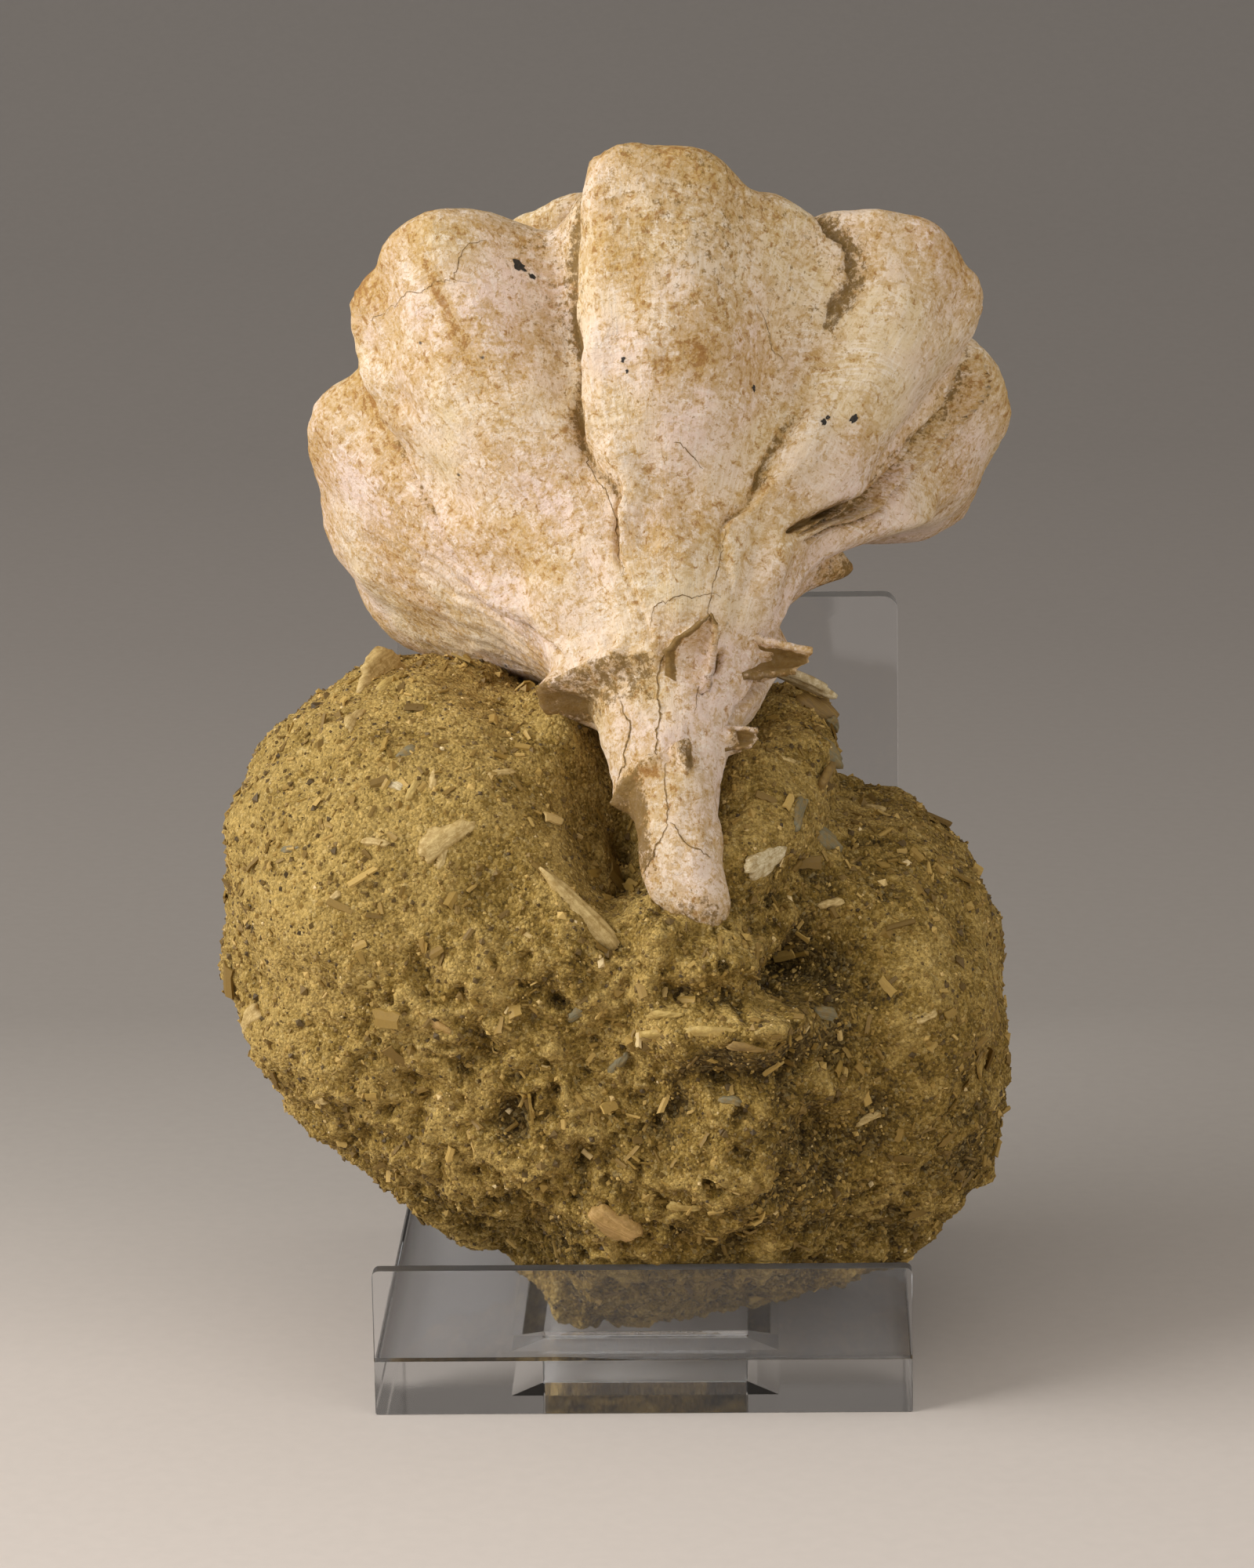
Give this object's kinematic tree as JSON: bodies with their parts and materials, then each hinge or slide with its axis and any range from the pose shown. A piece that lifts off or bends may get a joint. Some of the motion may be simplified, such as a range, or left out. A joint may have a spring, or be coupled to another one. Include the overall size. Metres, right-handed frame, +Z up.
{
  "type": "fossil murex shell in matrix on a display stand",
  "caption": "Knobbed fossil murex shell standing in a rounded lump of shelly sandstone, resting in a clear acrylic display stand with a window in its base.",
  "frame": {"origin": "on the surface that the stand rests on, under the middle of the whole object's box", "axes": "+Z up; -Y towards the viewer, the side with the stand's low lip and the shell's canal; +X to the viewer's right"},
  "size_m": [0.0726, 0.0616, 0.1115],
  "materials": {
    "fossil_shell": "matt, chalky, with fine growth and spiral lines and ochre staining",
    "shelly_sandstone": "rough, grainy, pitted, dull",
    "fragment_pale": "dull shell chip",
    "fragment_white": "dull pale shell chip",
    "fragment_brown": "dull brown shell chip",
    "fragment_pink": "dull ribbed shell chip",
    "fragment_grey": "smooth grey shell chip",
    "fragment_yellow": "dull yellow shell chip",
    "clear_acrylic": "polished, clear"
  },
  "bodies": {
    "root": {"shell": "fossil_shell", "matrix": "shelly_sandstone", "fragment_left_shard": "fragment_pale", "fragment_blade_white": "fragment_white", "fragment_blade_brown": "fragment_brown", "fragment_side_flake": "fragment_pale", "fragment_ribbed_valve": "fragment_pink", "fragment_long_flake": "fragment_pale", "fragment_pale_flake": "fragment_white", "fragment_grey_oval": "fragment_grey", "fragment_grey_flake": "fragment_grey", "fragment_curved_edge": "fragment_pale", "fragment_ledge_flake": "fragment_yellow", "fragment_ledge_sliver": "fragment_grey", "stand_base": "clear_acrylic", "stand_lip": "clear_acrylic", "stand_back": "clear_acrylic"}
  },
  "joints": []
}
